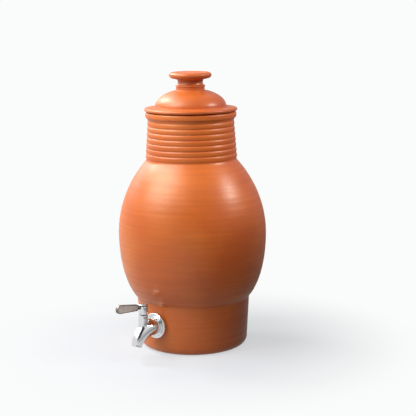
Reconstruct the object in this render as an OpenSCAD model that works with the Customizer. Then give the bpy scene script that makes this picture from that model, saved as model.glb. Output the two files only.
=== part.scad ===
// Clay water pot with a lid and a quarter-turn tap.
// The origin is the centre of the foot, +Z is up, and the tap points along -Y.

/* [Drum] */
// Outside radius of the drum at its top, under the belly
drum_top_r = 74.2; // [70:0.2:80]
// How much narrower the drum is at its bottom than at its top
drum_taper = 3.2; // [1:0.2:6]
// Radius of the rounded edge between the drum and the flat foot
foot_round = 10.5; // [6:0.5:11]
// Height of the seam between the drum and the belly
seam_z = 64.5; // [62:0.5:68]
// Thickness of the drum's wall
drum_wall = 9; // [7:0.5:11]
// Thickness of the pot's floor
floor_t = 10; // [8:0.5:12]
// Radius of the rounding inside, between the floor and the wall
floor_round = 10; // [4:0.5:12]

/* [Belly] */
// Largest outside radius of the belly
belly_r = 97; // [92:0.5:105]
// Height of the belly's widest place
belly_z = 150; // [140:1:160]
// Thickness of the belly's wall
belly_wall = 8; // [6:0.5:10]
// Height of the hollow that joins the belly to the drum
cove_h = 4; // [3:0.5:6]
// How far the belly stands out from the drum above that hollow
cove_out = 2.6; // [1.5:0.1:4]
// Angle of the belly's outline where it leaves that hollow
belly_low_angle = 51.7; // [40:0.1:65]
// Fullness of the belly's lower outline at the hollow
belly_low_full = 19.1; // [12:0.1:26]
// Fullness of the belly's outline under its widest place
belly_under_full = 36.5; // [28:0.5:42]
// Fullness of the belly's outline over its widest place
belly_over_full = 40.2; // [32:0.2:46]
// Angle of the shoulder where it meets the neck
shoulder_angle = 48.3; // [40:0.1:58]
// Fullness of the shoulder's outline at the neck
shoulder_full = 29.7; // [22:0.1:36]

/* [Neck] */
// Outside radius of the neck at its foot
neck_root_r = 59.6; // [57:0.2:62]
// Outside radius of the neck's highest rib
neck_top_r = 56.6; // [55:0.2:58]
// Height of the neck's foot
neck_root_z = 246; // [238:1:254]
// Thickness of the neck's wall at its narrowest rib
neck_wall = 6.6; // [5:0.2:8]
// Number of ribs round the neck
rib_count = 7; // [5:1:9]
// Height of one rib
rib_pitch = 7; // [5:0.5:8]
// Depth of the grooves between the ribs
rib_depth = 1.2; // [0.6:0.1:1.6]
// Height of the hollow under the lowest rib
lower_cove_h = 2.5; // [1.5:0.5:4]
// Height of the hollow under the rim
upper_cove_h = 3.5; // [2.5:0.5:5]
// Height of the rounded rim
rim_h = 8.2; // [6:0.2:10]
// Largest outside radius of the rim
rim_r = 59.2; // [58.6:0.2:61]
// Rounding of the rim's edges
rim_edge = 2.6; // [1.5:0.1:3.5]

/* [Lid] */
// Radius of the lid's flange
lid_flange_r = 60.3; // [59:0.1:64]
// Thickness of the lid's flange at its edge
lid_flange_t = 5.2; // [4:0.2:7]
// Rise of the flange from its edge to the dome
lid_flange_rise = 1.6; // [0.6:0.2:3]
// Rounding of the flange's edge
lid_edge = 2.2; // [1.2:0.1:2.5]
// Width of the hollow at the dome's foot
dome_cove = 2; // [1:0.25:4]
// Radius of the dome at its foot
dome_r = 46.3; // [44:0.1:48]
// Height of the dome from its foot to the knob
dome_h = 21; // [17:0.5:25]
// Thickness of the dome's wall
dome_wall = 7; // [5:0.5:8]
// Gap between the lid's locating ring and the neck
ring_gap = 2; // [1:0.25:3]
// Thickness of the locating ring
ring_t = 5; // [4:0.5:7]
// Depth of the locating ring below the flange
ring_depth = 10; // [6:1:14]

/* [Knob] */
// Radius of the knob's foot
knob_foot_r = 18.5; // [17:0.1:20]
// Height of the knob's foot, with its bead
knob_foot_h = 6.2; // [5:0.2:10]
// How far the knob's bead stands out
knob_bead = 0.5; // [0.2:0.1:1]
// Height of the knob's bead
knob_bead_h = 2.4; // [1.2:0.2:3.6]
// Radius of the knob's waist
knob_waist_r = 16.2; // [14:0.1:16.6]
// Height of the knob's waist
knob_waist_h = 7.6; // [5:0.2:10]
// Radius of the knob's disc
knob_r = 27.6; // [25:0.1:31]
// Thickness of the knob's disc
knob_t = 9.2; // [7:0.2:11]
// How far the rounding of the disc's edge reaches in
knob_edge = 5.5; // [3:0.5:8]
// Depth of the hollow in the knob's top
knob_dish = 0.8; // [0.4:0.1:1.5]

/* [Tap] */
// Height of the tap's axis above the foot
tap_z = 39; // [36:0.5:44]
// Outside radius of the threaded shank
shank_r = 7; // [6:0.5:7.5]
// Length of shank left bare past the lock nut
shank_tail = 3.5; // [1:0.5:8]
// Radius of the way through the shank
inlet_r = 4; // [3:0.25:4.5]
// Gap between the shank and the pot, and the rings on it
shank_gap = 0.5; // [0.3:0.1:0.8]
// Radius of the wall flange
flange_r = 16.7; // [15.5:0.1:19]
// Thickness of the wall flange
flange_t = 3.2; // [2.6:0.1:4.5]
// Depth of the flange's hollow front
flange_dish = 0.8; // [0.4:0.1:1.2]
// Rounding of the flange's front edge
flange_edge = 1.4; // [0.8:0.1:1.6]
// Chamfer on the tap's turned pieces
steel_edge = 0.5; // [0.2:0.1:0.8]
// Radius of the spout where it leaves the flange
spout_root_r = 11.3; // [10.5:0.1:12]
// Radius of the spout at its mouth
spout_mouth_r = 6.7; // [6.3:0.1:8]
// Straight length of the spout in front of the flange
spout_straight = 8; // [6:0.5:9]
// Radius of the spout's bend, along its middle
spout_bend_r = 27; // [26:0.5:29]
// Angle that the spout turns through
spout_bend = 70; // [66:1:74]
// How late the spout narrows along its length, where 1 is evenly
spout_taper = 1.8; // [1.4:0.1:2.4]
// Length of the plain lip at the mouth
lip_l = 2.5; // [1:0.25:4]
// Radius of the way through the spout
outlet_r = 4.6; // [4:0.1:5]
// Angle that this way turns through, from under the valve to the mouth
way_bend = 34; // [32:1:40]
// Extra radius of that way inside the lip
lip_step = 0.3; // [0.1:0.05:0.6]

/* [Valve] */
// Distance from the front of the flange to the stem's axis
stem_out = 20.5; // [19.5:0.25:22]
// Height of the valve neck's top above the tap's axis
neck_rise = 19.4; // [18:0.2:23]
// Radius of the valve neck where it grows out of the spout
neck_base_r = 7.3; // [6.9:0.1:7.8]
// Height over which the valve neck flares into the spout
neck_flare_h = 8; // [6:0.5:10]
// Plain height of the valve neck over its flare
neck_plain_h = 4.5; // [3:0.5:6]
// Radius of the valve's chamber
chamber_r = 4.7; // [4.5:0.05:4.75]
// Thickness of the sleeve
sleeve_t = 0.8; // [0.6:0.05:0.9]
// Radius of the plug's cross hole
port_r = 2.2; // [1.8:0.1:2.4]
// Extra radius of the holes in front of the plug and behind it
port_gap = 0.1; // [0.05:0.05:0.3]
// How far the hole in front of the plug runs before it turns down
way_reach = 1.6; // [1:0.1:2.2]
// Extra radius where that way turns down
way_room = 0.8; // [0.4:0.1:1]
// How far the cross hole lies below the tap's axis
port_drop = 2; // [1:0.25:2.5]
// Length of the plug below its cross hole
plug_foot = 4.8; // [3.5:0.1:5.5]
// Thickness of the thrust washer
thrust_t = 1.5; // [1:0.1:2.5]
// Length of the bonnet
bonnet_l = 10; // [8:0.5:12]
// How far the bonnet's top lies below the valve neck's top
bonnet_sink = 0.3; // [0.2:0.1:1]
// Width of the screwdriver slot in the bonnet's top
slot_w = 1.2; // [0.8:0.1:1.8]
// Depth of that slot
slot_d = 1.2; // [0.6:0.1:2]
// Radius of the stem
stem_r = 2.4; // [2.3:0.05:2.5]
// Width of the stem's drive square
square_w = 3.2; // [2.8:0.05:3.25]
// Radius of the stem seal's section
oring_r = 0.7; // [0.5:0.05:0.8]
// Gap between the turning pieces and what they run in
running_gap = 0.08; // [0.04:0.01:0.1]
// Gap between fixed pieces that fit each other
seat_gap = 0.05; // [0.03:0.01:0.08]

/* [Stack] */
// Radius of the valve neck, the lever's hub and the screw's head
stack_r = 6.1; // [6.05:0.05:6.5]
// Height of the dark groove between the valve neck and the hub
hub_gap = 1; // [0.8:0.1:1.6]
// Height of the lever's hub
hub_h = 10.8; // [10:0.2:13]
// Angle that the lever turns through, from closed to open
lever_turn = 90; // [70:5:95]
// Height of the stop lug inside the hub's notch
stop_rise = 1.3; // [0.8:0.1:2]
// Angle that the stop lug covers
stop_angle = 24; // [16:2:32]
// Thickness of the stop lug
stop_wall = 1.2; // [0.8:0.1:1.2]
// Clearance all round the stop lug
stop_gap = 0.35; // [0.3:0.05:0.5]
// Thickness of the spring washer
spring_t = 0.8; // [0.5:0.1:1.2]
// How far the spring washer stays inside the screw's head
spring_in = 0.9; // [0.3:0.1:1.4]
// Height of the cap screw's head
screw_head_h = 1.8; // [1.4:0.1:3]
// Radius of the cap screw's thread
screw_r = 1.2; // [1:0.1:1.3]
// Length of the cap screw's thread
screw_l = 8; // [5:0.5:10]

/* [Lever] */
// Length of the lever from the stem's axis to its tip
lever_l = 48; // [42:0.5:60]
// Angle by which the lever rises towards its tip
lever_rise = 7.4; // [0:0.2:10]
// Distance from the stem's axis to the paddle's inner end
paddle_start = 9.5; // [8.5:0.25:12]
// Height of the paddle at its inner end
paddle_inner_h = 8.2; // [7:0.2:9]
// Height of the paddle at its tip
paddle_tip_h = 11; // [9.4:0.2:14]
// Thickness of the paddle
paddle_t = 4; // [3:0.2:6]
// Width of the raised rim round the paddle's sunk faces
paddle_rim = 1.5; // [1:0.1:2]
// Depth of each sunk face
paddle_sink = 0.9; // [0.4:0.1:1.1]
// Height of the neck between the hub and the paddle
lever_neck_h = 4.4; // [3:0.2:5.5]
// How far that neck lies below the paddle's middle
lever_neck_drop = 0.8; // [0:0.1:1.4]
// How far the paddle's axis lies below the hub's top, at the stem
paddle_drop = 1.8; // [1.5:0.1:4]

/* [Seals and nut] */
// Gap between the drum and the wall flange where they come nearest, which the front gasket fills
front_gasket_t = 0.7; // [0.4:0.1:2]
// Radius of the front gasket
front_gasket_r = 14; // [12.5:0.25:14.5]
// Thickness of the rear gasket at its lowest place
rear_gasket_t = 3; // [2.6:0.1:4]
// Radius of the rear gasket
rear_gasket_r = 13.5; // [12:0.25:14]
// Radius of the backing washer
washer_r = 13; // [11.5:0.25:14]
// Thickness of the backing washer
washer_t = 1.5; // [1:0.1:2.5]
// Width across the flats of the lock nut
nut_flats = 20; // [18:0.5:22]
// Thickness of the lock nut
nut_t = 6; // [4:0.5:8]

/* [Hidden] */
$fn = 96;

// Colours
clay = "#b4572e";
clay_light = "#c8693a";
steel = "#c9cdd0";
dark_steel = "#8c9094";
rubber_black = "#2b2b2b";
plastic_white = "#f0f0ea";

// Fineness of the drawn curves
round_steps = 4;
disc_steps = 5;
flare_steps = 5;
arc_steps = 8;
paddle_steps = 10;
belly_steps = 12;
rib_steps = 4;
spout_rings = 20;
spout_sides = 32;
fine_steps = 240;

// Levels of the pot and the lid
ribs_z = neck_root_z + lower_cove_h;
rim_z = ribs_z + rib_count * rib_pitch + upper_cove_h;
rim_top_z = rim_z + rim_h;
dome_z = rim_top_z + lid_flange_t + lid_flange_rise;
dome_top_z = dome_z + dome_h;
knob_waist_z = dome_top_z + knob_foot_h;
knob_disc_z = knob_waist_z + knob_waist_h;
knob_top_z = knob_disc_z + knob_t;
neck_inner_r = min(neck_root_r, neck_top_r) - neck_wall;
ring_r = neck_inner_r - ring_gap;
drum_bottom_r = drum_top_r - drum_taper;

// Distances of the tap's pieces from the pot's axis, along the tap
flange_back = drum_r(tap_z + flange_r) + front_gasket_t;
flange_front = flange_back + flange_t;
stem_y = flange_front + stem_out;
washer_front = drum_r(tap_z - rear_gasket_r) - drum_wall - rear_gasket_t;
nut_front = washer_front - washer_t;
shank_end = nut_front - nut_t - shank_tail;
bend_y = flange_front + spout_straight;
bend_z = tap_z - spout_bend_r;
bend_l = spout_bend_r * spout_bend * PI / 180;

// Levels of the valve
neck_top_z = tap_z + neck_rise;
port_z = tap_z - port_drop;
plug_r = chamber_r - sleeve_t - seat_gap - running_gap;
plug_z = port_z - port_r - plug_foot;
bonnet_top_z = neck_top_z - bonnet_sink;
bonnet_z = bonnet_top_z - bonnet_l;
thrust_z = bonnet_z - thrust_t;
hub_z = neck_top_z + hub_gap;
hub_top_z = hub_z + hub_h;
screw_z = hub_top_z + spring_t;
oring_z = bonnet_z + bonnet_l / 2;

// How far a cut runs past a face, so that it leaves no skin
past = 0.5;

// Outside radius of the drum at a height
function drum_r(z) =
    drum_bottom_r + drum_taper * (z - foot_round) / (seam_z - foot_round);

function arc_points(centre, rx, ry, start, stop, steps) = [
    for (i = [0:steps])
        let (a = start + (stop - start) * i / steps)
        centre + [rx * cos(a), ry * sin(a)]
];

function bezier_points(p0, p1, p2, p3, steps) = [
    for (i = [0:steps])
        let (t = i / steps, s = 1 - t)
        s * s * s * p0 + 3 * s * s * t * p1 + 3 * s * t * t * p2 + t * t * t * p3
];

// Outline of the belly between two seams, drawn in by the wall's thickness
function belly_points(inset, steps) = let (
    low = [drum_top_r + cove_out - inset, seam_z + cove_h],
    wide = [belly_r - inset, belly_z],
    high = [neck_root_r - inset, neck_root_z],
    low_way = belly_low_full * [cos(belly_low_angle), sin(belly_low_angle)],
    high_way = shoulder_full * [cos(shoulder_angle), -sin(shoulder_angle)]
) concat(
    bezier_points(low, low + low_way, wide - [0, belly_under_full], wide, steps),
    bezier_points(wide, wide + [0, belly_over_full], high + high_way, high, steps)
);

// One rib of the neck: a shallow arch between two grooves
function rib_points(i) = let (
    crest = neck_root_r + (neck_top_r - neck_root_r) * i / max(1, rib_count - 1),
    low_z = ribs_z + i * rib_pitch
) [
    for (j = [0:rib_steps])
        let (u = 2 * j / rib_steps - 1)
        [crest - rib_depth * u * u, low_z + rib_pitch * (u + 1) / 2]
];

module pot_outer_outline() {
    seam = [drum_top_r, seam_z];
    belly_low = [drum_top_r + cove_out, seam_z + cove_h];
    polygon(concat(
        [[0, 0]],
        arc_points([drum_bottom_r - foot_round, foot_round], foot_round, foot_round, -90, 0, arc_steps),
        bezier_points(seam, seam + [0, cove_h / 2], belly_low - [cove_out / 2, cove_h / 3], belly_low,
            round_steps),
        belly_points(0, belly_steps),
        [for (i = [0:rib_count - 1]) each rib_points(i)],
        arc_points([rim_r - rim_edge, rim_z + rim_edge], rim_edge, rim_edge, -80, 0, round_steps),
        arc_points([rim_r - rim_edge, rim_top_z - rim_edge], rim_edge, rim_edge, 0, 90, round_steps),
        [[0, rim_top_z]]
    ));
}

// The hollow of the pot, open at the top
module pot_cavity_outline() {
    wall_r = drum_r(floor_t + floor_round) - drum_wall;
    polygon(concat(
        [[0, floor_t]],
        arc_points([wall_r - floor_round, floor_t + floor_round], floor_round, floor_round, -90, 0, arc_steps),
        [[drum_top_r - drum_wall, seam_z]],
        belly_points(belly_wall, arc_steps),
        [[neck_inner_r, ribs_z], [neck_inner_r, rim_top_z + past], [0, rim_top_z + past]]
    ));
}

module lid_outline() {
    edge_r = lid_flange_r - lid_edge;
    edge_z = rim_top_z + lid_flange_t - lid_edge;
    disc_r = knob_r - knob_edge;
    disc_under = knob_t / 2;
    disc_over = 0.4 * knob_t;
    disc_z = knob_top_z - disc_over;
    dish_z = knob_top_z - knob_dish;
    knob_angle = acos(knob_foot_r / dome_r);
    inner_top_z = dome_top_z - dome_wall;
    inner_r = ring_r - ring_t;
    inner_z = dome_z - lid_flange_t;
    ring_z = rim_top_z - ring_depth;
    polygon(concat(
        [[ring_r, rim_top_z]],
        arc_points([edge_r, rim_top_z + lid_edge], lid_edge, lid_edge, -90, 0, round_steps),
        arc_points([edge_r, edge_z], lid_edge, lid_edge, 0, 70, round_steps),
        [[dome_r + dome_cove, dome_z - lid_flange_rise / 4]],
        arc_points([0, dome_z], dome_r, dome_h / sin(knob_angle), 0, knob_angle, belly_steps),
        arc_points([knob_foot_r, knob_waist_z - knob_bead_h / 2], knob_bead, knob_bead_h / 2, -90, 90,
            round_steps),
        arc_points([knob_foot_r, knob_waist_z + knob_waist_h / 2], knob_foot_r - knob_waist_r,
            knob_waist_h / 2, 260, 100, arc_steps),
        arc_points([disc_r, disc_z], knob_edge, disc_under, -75, 0, disc_steps),
        arc_points([disc_r, disc_z], knob_edge, disc_over, 15, 90, disc_steps),
        [[disc_r - knob_edge, dish_z], [0, dish_z], [0, inner_top_z]],
        arc_points([0, inner_z], inner_r, inner_top_z - inner_z, 84, 0, arc_steps),
        [[inner_r, ring_z], [ring_r - steel_edge, ring_z], [ring_r, ring_z + steel_edge]]
    ));
}

// Turns a shape drawn along +Z so that it lies along the tap, out from the pot's axis at the tap's height
module along_tap(out) {
    translate([0, -out, tap_z])
        rotate([90, 0, 0])
            children();
}

module at_stem(z) {
    translate([0, -stem_y, z])
        children();
}

// The middle of the spout at a distance along it: how far out from the pot, how high, and how far turned
function spout_place(s) = let (
    turn = min(max(s - spout_straight, 0) / bend_l, 1) * spout_bend,
    before = min(s, spout_straight),
    after = max(s - spout_straight - bend_l, 0)
) [
    flange_front + before + spout_bend_r * sin(turn) + after * cos(turn),
    tap_z - spout_bend_r * (1 - cos(turn)) - after * sin(turn),
    turn
];

// The spout's radius falls slowly at first and faster towards the mouth
function spout_r(s) =
    spout_root_r - (spout_root_r - spout_mouth_r) * pow(min(s / (spout_straight + bend_l), 1), spout_taper);

module spout_skin() {
    total_l = spout_straight + bend_l + lip_l;
    points = [
        for (i = [0:spout_rings])
            let (s = total_l * i / spout_rings, place = spout_place(s), r = spout_r(s))
            for (j = [0:spout_sides - 1])
                let (a = 360 * j / spout_sides)
                [
                    r * cos(a),
                    -place[0] - r * sin(a) * sin(place[2]),
                    place[1] + r * sin(a) * cos(place[2])
                ]
    ];
    sides = [
        for (i = [0:spout_rings - 1], j = [0:spout_sides - 1])
            let (k = (j + 1) % spout_sides, low = i * spout_sides, high = low + spout_sides)
            each [[low + j, high + j, low + k], [low + k, high + j, high + k]]
    ];
    root = [[for (j = [0:spout_sides - 1]) j]];
    mouth = [[for (j = [spout_sides - 1:-1:0]) spout_rings * spout_sides + j]];
    polyhedron(points, concat(sides, root, mouth));
}

// The way through the spout, from the valve down to the mouth
module spout_way() {
    lip_place = spout_place(spout_straight + bend_l);
    translate([0, -bend_y, bend_z])
        rotate([0, -90, 0])
            rotate([0, 0, -spout_bend])
                rotate_extrude(angle = way_bend)
                    translate([spout_bend_r, 0])
                        circle(r = outlet_r);
    translate([0, -lip_place[0], lip_place[1]])
        rotate([90 + spout_bend, 0, 0])
            translate([0, 0, -past])
                cylinder(r = outlet_r + lip_step, h = lip_l + 2 * past);
}

module tube(outer_r, inner_r, h) {
    difference() {
        cylinder(r = outer_r, h = h);
        translate([0, 0, -past])
            cylinder(r = inner_r, h = h + 2 * past);
    }
}

// The hole that the shank passes through, in the pot and in both gaskets
module shank_hole() {
    along_tap(shank_end)
        cylinder(r = shank_r + shank_gap, h = flange_front - shank_end);
}

// A cylinder across the valve, along the tap
module across_valve(r, half_l) {
    translate([0, half_l - stem_y, port_z])
        rotate([90, 0, 0])
            cylinder(r = r, h = 2 * half_l);
}

// The pot is thrown in three pieces, which are luted together at its seams before it is fired
module thrown_piece(low, high) {
    rotate_extrude()
        intersection() {
            difference() {
                pot_outer_outline();
                pot_cavity_outline();
            }
            translate([0, low])
                square([2 * belly_r, high - low]);
        }
}

module drum() {
    color(clay)
        difference() {
            thrown_piece(0, seam_z);
            shank_hole();
        }
}

module belly() {
    color(clay)
        thrown_piece(seam_z, neck_root_z);
}

module neck() {
    color(clay)
        thrown_piece(neck_root_z, rim_top_z);
}

module lid() {
    color(clay_light)
        rotate_extrude()
            lid_outline();
}

// Flat against the flange, and hollowed to the drum's curve behind
module front_gasket() {
    $fn = fine_steps;
    color(rubber_black)
        difference() {
            along_tap(flange_back - front_gasket_r)
                cylinder(r = front_gasket_r, h = front_gasket_r);
            shank_hole();
            rotate_extrude()
                pot_outer_outline();
        }
}

module wall_flange() {
    inner_r = shank_r + shank_gap;
    dish_z = flange_t - flange_dish;
    seat_r = spout_root_r + steel_edge;
    color(steel)
        along_tap(flange_back)
            rotate_extrude()
                polygon(concat(
                    [[inner_r, 0], [flange_r - steel_edge, 0], [flange_r, steel_edge]],
                    arc_points([flange_r - flange_edge, flange_t - flange_edge], flange_edge, flange_edge, 0, 90, 4),
                    [
                        [flange_r - 2 * flange_edge, dish_z],
                        [seat_r, dish_z],
                        [seat_r, flange_t],
                        [inner_r, flange_t]
                    ]
                ));
}

// The round neck that carries the stem, flared into the spout at its foot
module valve_neck() {
    flare_z = neck_top_z - neck_plain_h - neck_flare_h;
    at_stem(0)
        rotate_extrude()
            polygon(concat(
                [[0, plug_z], [neck_base_r, plug_z]],
                [
                    for (i = [0:flare_steps])
                        let (t = i / flare_steps)
                        [stack_r + (neck_base_r - stack_r) * pow(1 - t, 2), flare_z + neck_flare_h * t]
                ],
                [[stack_r, neck_top_z - steel_edge], [stack_r - steel_edge, neck_top_z], [0, neck_top_z]]
            ));
}

// The lug on the neck's top that stops the lever at both ends of its turn
module stop_lug() {
    at_stem(neck_top_z - past)
        rotate([0, 0, -90 - stop_angle / 2])
            rotate_extrude(angle = stop_angle)
                translate([chamber_r + seat_gap, 0])
                    square([stop_wall, past + hub_gap + stop_rise]);
}

module tap_body() {
    color(steel)
        difference() {
            union() {
                spout_skin();
                valve_neck();
                stop_lug();
                along_tap(shank_end)
                    cylinder(r = shank_r, h = flange_front + spout_straight / 2 - shank_end);
            }
            at_stem(plug_z)
                cylinder(r = chamber_r, h = neck_top_z - plug_z + past);
            along_tap(shank_end - past)
                cylinder(r = inlet_r, h = stem_y - shank_end + past);
            across_valve(port_r + port_gap, chamber_r + way_reach);
            translate([0, -stem_y - chamber_r - way_reach, port_z - past])
                sphere(r = port_r + way_room);
            spout_way();
        }
}

// Flat against the washer, and rounded to the drum's curve in front
module rear_gasket() {
    $fn = fine_steps;
    color(rubber_black)
        difference() {
            intersection() {
                along_tap(washer_front)
                    cylinder(r = rear_gasket_r, h = rear_gasket_t + drum_wall);
                rotate_extrude()
                    pot_cavity_outline();
            }
            shank_hole();
        }
}

module backing_washer() {
    color(dark_steel)
        along_tap(nut_front)
            tube(washer_r, shank_r + shank_gap, washer_t);
}

module lock_nut() {
    color(steel)
        along_tap(nut_front - nut_t)
            difference() {
                cylinder(r = nut_flats / sqrt(3), h = nut_t, $fn = 6);
                translate([0, 0, -past])
                    cylinder(r = shank_r + seat_gap, h = nut_t + 2 * past);
            }
}

module valve_sleeve() {
    outer_r = chamber_r - seat_gap;
    color(plastic_white)
        difference() {
            at_stem(plug_z)
                tube(outer_r, outer_r - sleeve_t, thrust_z - plug_z);
            across_valve(port_r + port_gap, chamber_r + past);
        }
}

// The plug is closed at rest, with its cross hole square to the tap
module valve_plug() {
    plug_low = plug_z + running_gap;
    plug_high = thrust_z - running_gap;
    square_h = hub_h - steel_edge;
    color(dark_steel)
        difference() {
            union() {
                at_stem(plug_low)
                    cylinder(r = plug_r, h = plug_high - plug_low);
                at_stem(plug_high - past)
                    cylinder(r = stem_r, h = hub_z - plug_high + past);
                at_stem(hub_z - past)
                    translate([-square_w / 2, -square_w / 2, 0])
                        cube([square_w, square_w, square_h + past]);
            }
            translate([-plug_r - past, -stem_y, port_z])
                rotate([0, 90, 0])
                    cylinder(r = port_r, h = 2 * (plug_r + past));
            at_stem(screw_z - screw_l - past)
                cylinder(r = screw_r + seat_gap, h = screw_l + 2 * past);
        }
}

module thrust_washer() {
    color(plastic_white)
        at_stem(thrust_z)
            tube(chamber_r - seat_gap, stem_r + running_gap, thrust_t);
}

// The gland that is screwed into the valve neck, with the stem seal's groove in its bore
module bonnet() {
    outer_r = chamber_r - seat_gap;
    inner_r = stem_r + running_gap;
    groove_low = oring_z - oring_r - seat_gap;
    groove_high = oring_z + oring_r + seat_gap;
    groove_r = inner_r + 2 * oring_r;
    color(dark_steel)
        difference() {
            at_stem(0)
                rotate_extrude()
                    polygon([
                        [inner_r, bonnet_z],
                        [outer_r, bonnet_z],
                        [outer_r, bonnet_top_z],
                        [inner_r, bonnet_top_z],
                        [inner_r, groove_high],
                        [groove_r, groove_high],
                        [groove_r, groove_low],
                        [inner_r, groove_low]
                    ]);
            at_stem(bonnet_top_z - slot_d)
                translate([-chamber_r, -slot_w / 2, 0])
                    cube([2 * chamber_r, slot_w, slot_d + past]);
        }
}

module stem_oring() {
    color(rubber_black)
        at_stem(oring_z)
            rotate_extrude()
                translate([stem_r + running_gap + oring_r, 0])
                    circle(r = oring_r);
}

// A plate's outline with round ends of different heights
function paddle_points(start, end, start_h, end_h) = let (
    run = end - start - start_h / 2 - end_h / 2,
    slope = asin((end_h - start_h) / 2 / run)
) concat(
    arc_points([end - end_h / 2, 0], end_h / 2, end_h / 2, -90 - slope, 90 + slope, paddle_steps),
    arc_points([start + start_h / 2, 0], start_h / 2, start_h / 2, 90 + slope, 270 - slope, paddle_steps)
);

// The upright plate that the fingers turn, sunk on both faces
module paddle() {
    inset = 2 * paddle_rim;
    translate([0, 0, -paddle_t / 2])
        difference() {
            linear_extrude(paddle_t)
                polygon(paddle_points(paddle_start, lever_l, paddle_inner_h, paddle_tip_h));
            for (z = [-past, paddle_t - paddle_sink])
                translate([0, 0, z])
                    linear_extrude(paddle_sink + past)
                        polygon(paddle_points(paddle_start + paddle_rim, lever_l - paddle_rim,
                            paddle_inner_h - inset, paddle_tip_h - inset));
        }
}

// The notch under the hub that the stop lug runs in
module stop_notch() {
    margin = asin(stop_gap / chamber_r);
    sweep = lever_turn + stop_angle + 2 * margin;
    at_stem(hub_z - past)
        rotate([0, 0, stop_angle / 2 + margin - 90 - sweep])
            rotate_extrude(angle = sweep)
                translate([chamber_r + seat_gap - stop_gap, 0])
                    square([stack_r, past + stop_rise + stop_gap]);
}

module lever() {
    drive_w = square_w + 2 * seat_gap;
    neck_t = paddle_t - 2 * steel_edge;
    neck_start = stack_r / 2;
    neck_l = paddle_start + paddle_rim - neck_start;
    color(steel)
        difference() {
            union() {
                at_stem(hub_z)
                    cylinder(r = stack_r, h = hub_h);
                at_stem(hub_top_z - paddle_drop)
                    rotate([90, 0, -90])
                        rotate([0, 0, lever_rise]) {
                            paddle();
                            translate([neck_start, -lever_neck_h / 2 - lever_neck_drop, -neck_t / 2])
                                cube([neck_l, lever_neck_h, neck_t]);
                        }
            }
            at_stem(hub_z - past)
                translate([-drive_w / 2, -drive_w / 2, 0])
                    cube([drive_w, drive_w, hub_h + 2 * past]);
            at_stem(hub_top_z)
                cylinder(r = stack_r, h = paddle_tip_h);
            stop_notch();
        }
}

module spring_washer() {
    color(dark_steel)
        at_stem(hub_top_z)
            tube(stack_r - spring_in, screw_r + shank_gap, spring_t);
}

module cap_screw() {
    head_low = 0.2 * screw_head_h;
    head_high = screw_head_h - head_low;
    color(steel)
        at_stem(screw_z)
            rotate_extrude()
                polygon(concat(
                    [[0, -screw_l], [screw_r, -screw_l], [screw_r, 0], [stack_r - head_low, 0]],
                    [[stack_r, head_low]],
                    arc_points([0, head_low], stack_r, head_high, 10, 90, arc_steps)
                ));
}

drum();
belly();
neck();
lid();
front_gasket();
wall_flange();
tap_body();
rear_gasket();
backing_washer();
lock_nut();
valve_sleeve();
valve_plug();
thrust_washer();
bonnet();
stem_oring();
lever();
spring_washer();
cap_screw();
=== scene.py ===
import math

import bmesh
import bpy
import numpy as np
from mathutils import Matrix, Vector


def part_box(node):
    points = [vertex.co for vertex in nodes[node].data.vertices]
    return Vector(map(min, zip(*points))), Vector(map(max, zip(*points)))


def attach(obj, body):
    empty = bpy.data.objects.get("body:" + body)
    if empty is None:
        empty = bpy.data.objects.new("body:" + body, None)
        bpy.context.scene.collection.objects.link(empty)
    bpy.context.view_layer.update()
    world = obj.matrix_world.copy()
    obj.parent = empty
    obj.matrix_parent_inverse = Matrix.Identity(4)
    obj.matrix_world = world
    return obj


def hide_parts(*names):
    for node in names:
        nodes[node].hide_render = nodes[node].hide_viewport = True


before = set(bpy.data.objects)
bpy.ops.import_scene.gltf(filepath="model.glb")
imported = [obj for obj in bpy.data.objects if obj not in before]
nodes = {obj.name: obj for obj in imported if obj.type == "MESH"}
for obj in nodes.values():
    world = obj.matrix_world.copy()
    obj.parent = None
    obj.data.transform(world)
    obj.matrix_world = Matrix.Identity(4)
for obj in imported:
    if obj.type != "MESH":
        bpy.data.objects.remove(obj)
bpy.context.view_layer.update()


# ---------------------------------------------------------------- camera
# The pot is seen from its front right, a little from above, with the tap pointing to the left.
# The sizes of the pieces and of the camera's place are in millimetres, and become metres where a mesh
# or a place is made.
MM = 0.001
camera_side = math.radians(40.9)
camera_away = 1528.4
camera_up = 452.4
pitch, yaw, roll = 0.17540559, 0.0136594, 0.0122173
sensor_w, focal_px, picture_px = 36, 1180, 416

ahead = Vector((math.sin(yaw) * math.cos(pitch), math.cos(yaw) * math.cos(pitch), -math.sin(pitch)))
level = Vector((math.cos(yaw), -math.sin(yaw), 0))
upward = level.cross(ahead)
across = math.cos(roll) * level - math.sin(roll) * upward
upright = math.sin(roll) * level + math.cos(roll) * upward
facing = Matrix((across, upright, -ahead)).transposed().to_4x4()
swing = Matrix.Rotation(camera_side, 4, "Z")
place = swing @ Matrix.Translation(Vector((0, -camera_away, camera_up)) * MM) @ facing

camera_data = bpy.data.cameras.new("camera")
camera_data.sensor_width = sensor_w
camera_data.lens = sensor_w * focal_px / picture_px
camera = bpy.data.objects.new("camera", camera_data)
camera.matrix_world = place
bpy.context.scene.collection.objects.link(camera)
bpy.context.scene.camera = camera
bpy.context.scene.view_settings.view_transform = "Standard"


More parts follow.
